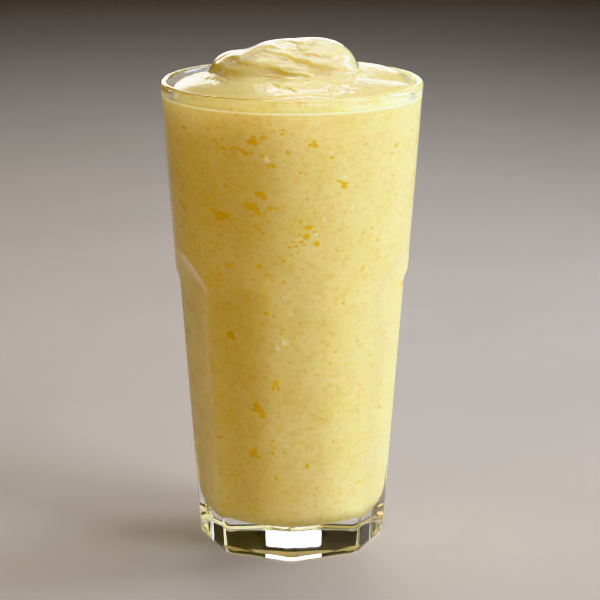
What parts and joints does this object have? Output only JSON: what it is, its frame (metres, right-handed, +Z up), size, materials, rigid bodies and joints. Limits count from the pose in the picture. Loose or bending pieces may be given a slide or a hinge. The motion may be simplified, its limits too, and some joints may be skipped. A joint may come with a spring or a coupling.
{
  "type": "pineapple shake in a glass",
  "caption": "Pineapple shake in a tall panelled tumbler, filled to just under the rim, with a soft folded mound of shake standing over it.",
  "frame": {"origin": "centre of the glass's foot, on the surface it stands on", "axes": "+Z up along the glass's axis; -Y is the front, where a corner between two panels faces; +X to the right"},
  "size_m": [0.088, 0.088, 0.1738],
  "materials": {
    "pressed_glass": "clear pressed soda-lime glass, fire-polished",
    "blended_pineapple": "wet, thick blended fruit and milk, pale yellow with golden pulp"
  },
  "bodies": {
    "root": {"glass": "pressed_glass", "shake": "blended_pineapple"}
  },
  "joints": []
}
